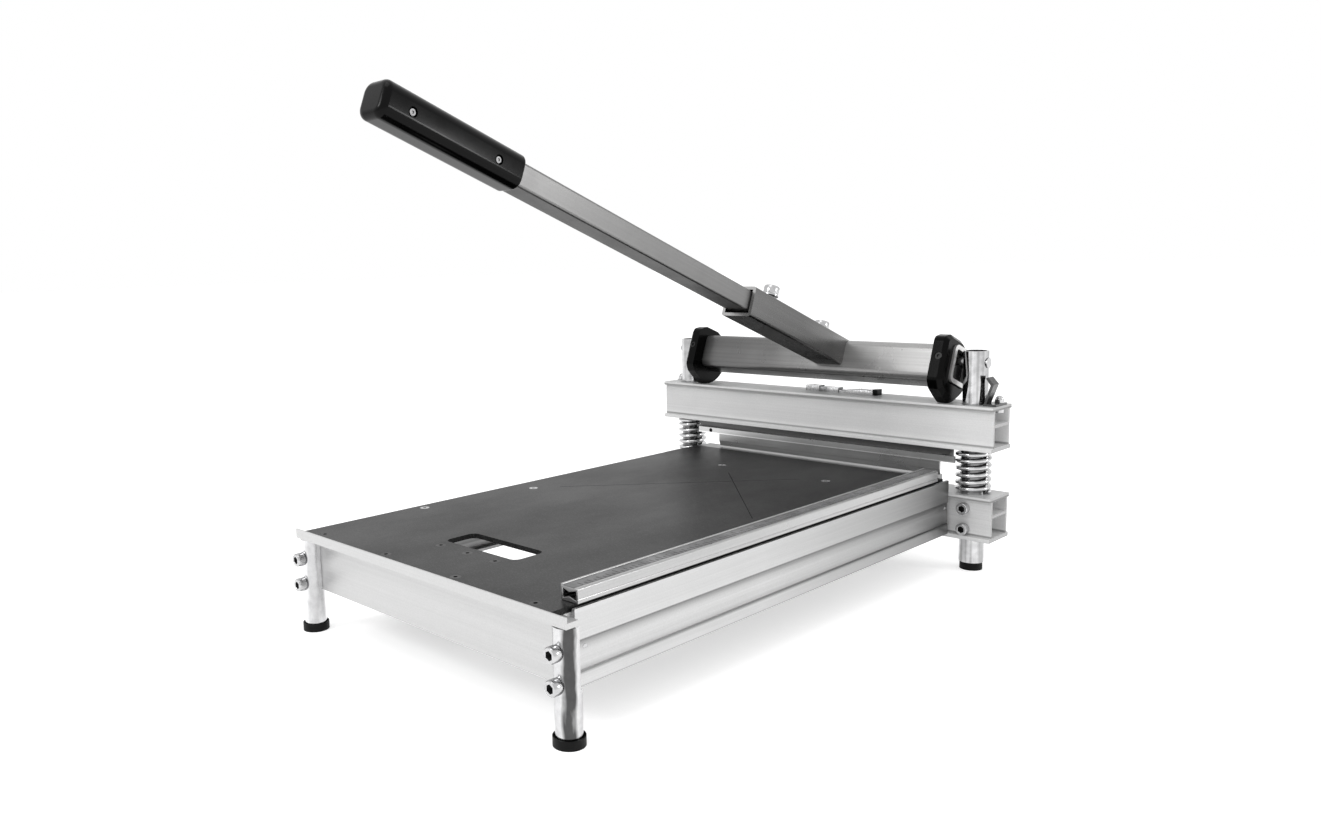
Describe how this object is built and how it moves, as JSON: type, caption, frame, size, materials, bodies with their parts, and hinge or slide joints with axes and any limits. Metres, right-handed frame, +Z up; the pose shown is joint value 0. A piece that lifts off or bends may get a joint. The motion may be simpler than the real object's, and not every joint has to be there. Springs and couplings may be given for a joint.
{
  "type": "laminate cutter",
  "caption": "Bench shear for laminate planks with a long lever, spring-returned blade beam, black table with handhold and an angle fence.",
  "frame": {"origin": "bottom centre of the bounding box, on the surface that the four feet stand on", "axes": "+X to the right as seen from the handle end, +Y from the handle end towards the blade, +Z up"},
  "size_m": [0.4572, 0.6884, 0.4925],
  "materials": {
    "board_black": "satin",
    "cleat_aluminium": "satin",
    "rail_aluminium": "satin",
    "beam_aluminium": "brushed",
    "anvil_aluminium": "satin",
    "clamp_aluminium": "satin",
    "leg_chrome": "polished",
    "post_chrome": "polished",
    "foot_rubber": "matte",
    "bolt_zinc": "zinc plated",
    "screw_black": "black oxide",
    "nut_chrome": "polished",
    "spring_chrome": "polished",
    "bush_bronze": "satin",
    "holder_dark": "satin",
    "blade_steel": "ground",
    "hook_steel": "zinc plated",
    "lock_zinc": "zinc plated",
    "lock_black": "satin",
    "tube_steel": "brushed",
    "bearing_black": "satin",
    "cap_black": "satin",
    "grip_black": "satin",
    "fence_aluminium": "satin",
    "scale_grey": "matte"
  },
  "bodies": {
    "base": {"table_board": "board_black", "rail_left": "rail_aluminium", "rail_right": "rail_aluminium", "front_rail": "rail_aluminium", "front_leg_left": "leg_chrome", "front_leg_right": "leg_chrome", "leg_boots": "foot_rubber", "leg_screws": "bolt_zinc", "corner_blocks": "cleat_aluminium", "corner_screws": "bolt_zinc", "lower_beam": "beam_aluminium", "post_left": "post_chrome", "post_right": "post_chrome", "post_plugs": "foot_rubber", "post_screws": "bolt_zinc", "pivot_bolts": "bolt_zinc", "anvil_bar": "anvil_aluminium", "anvil_screws": "bolt_zinc", "board_screws_dark": "screw_black", "board_screws_bright": "bolt_zinc", "slot_frame": "board_black", "rear_cleat": "cleat_aluminium", "left_cleat": "cleat_aluminium", "fence_pivot": "bolt_zinc", "spring_left": "spring_chrome", "spring_right": "spring_chrome"},
    "head": {"upper_beam": "beam_aluminium", "guide_bushes": "bush_bronze", "blade_holder": "holder_dark", "blade": "blade_steel", "blade_clamp": "clamp_aluminium", "holder_screws": "bolt_zinc", "blade_screws": "screw_black", "acorn_bolts": "bolt_zinc", "acorn_nuts": "nut_chrome", "acorn_washer": "bolt_zinc", "lock_hook": "hook_steel", "lock_base": "lock_zinc", "lock_lever": "lock_zinc", "lock_tip": "lock_black", "lock_screw": "bolt_zinc"},
    "lever": {"cross_tube": "tube_steel", "cap_left": "cap_black", "cap_right": "cap_black", "cap_screws": "screw_black", "pivot_blocks": "bearing_black", "sleeve": "tube_steel", "clamp_screws": "bolt_zinc", "clamp_washers": "bolt_zinc"},
    "handle": {"handle_tube": "tube_steel", "grip": "grip_black", "grip_screws": "bolt_zinc"},
    "fence": {"fence": "fence_aluminium", "fence_scale": "scale_grey"}
  },
  "joints": [
    {"name": "lever_pivot", "type": "hinge", "parent": "base", "child": "lever", "pos_m": [0, 0.31207, 0.2316], "axis": [-1, 0, 0], "range_deg": [-8, 65]},
    {"name": "blade_slide", "type": "slide", "parent": "base", "child": "head", "axis": [0, 0, 1], "range_m": [-0.0014, 0.0114], "stiffness_N_per_m": 28400, "springref_m": 0.0123, "deforming": ["spring_left", "spring_right"]},
    {"name": "handle_slide", "type": "slide", "parent": "lever", "child": "handle", "axis": [0, -0.9367, 0.3502], "range_m": [0, 0.1]},
    {"name": "fence_swing", "type": "hinge", "parent": "base", "child": "fence", "pos_m": [0.1715, 0.24327, 0.1038], "axis": [0, 0, 1], "range_deg": [-45, 0]}
  ],
  "couplings": [
    {"joint": "blade_slide", "follows": "lever_pivot", "m_per_rad": 0.01}
  ]
}
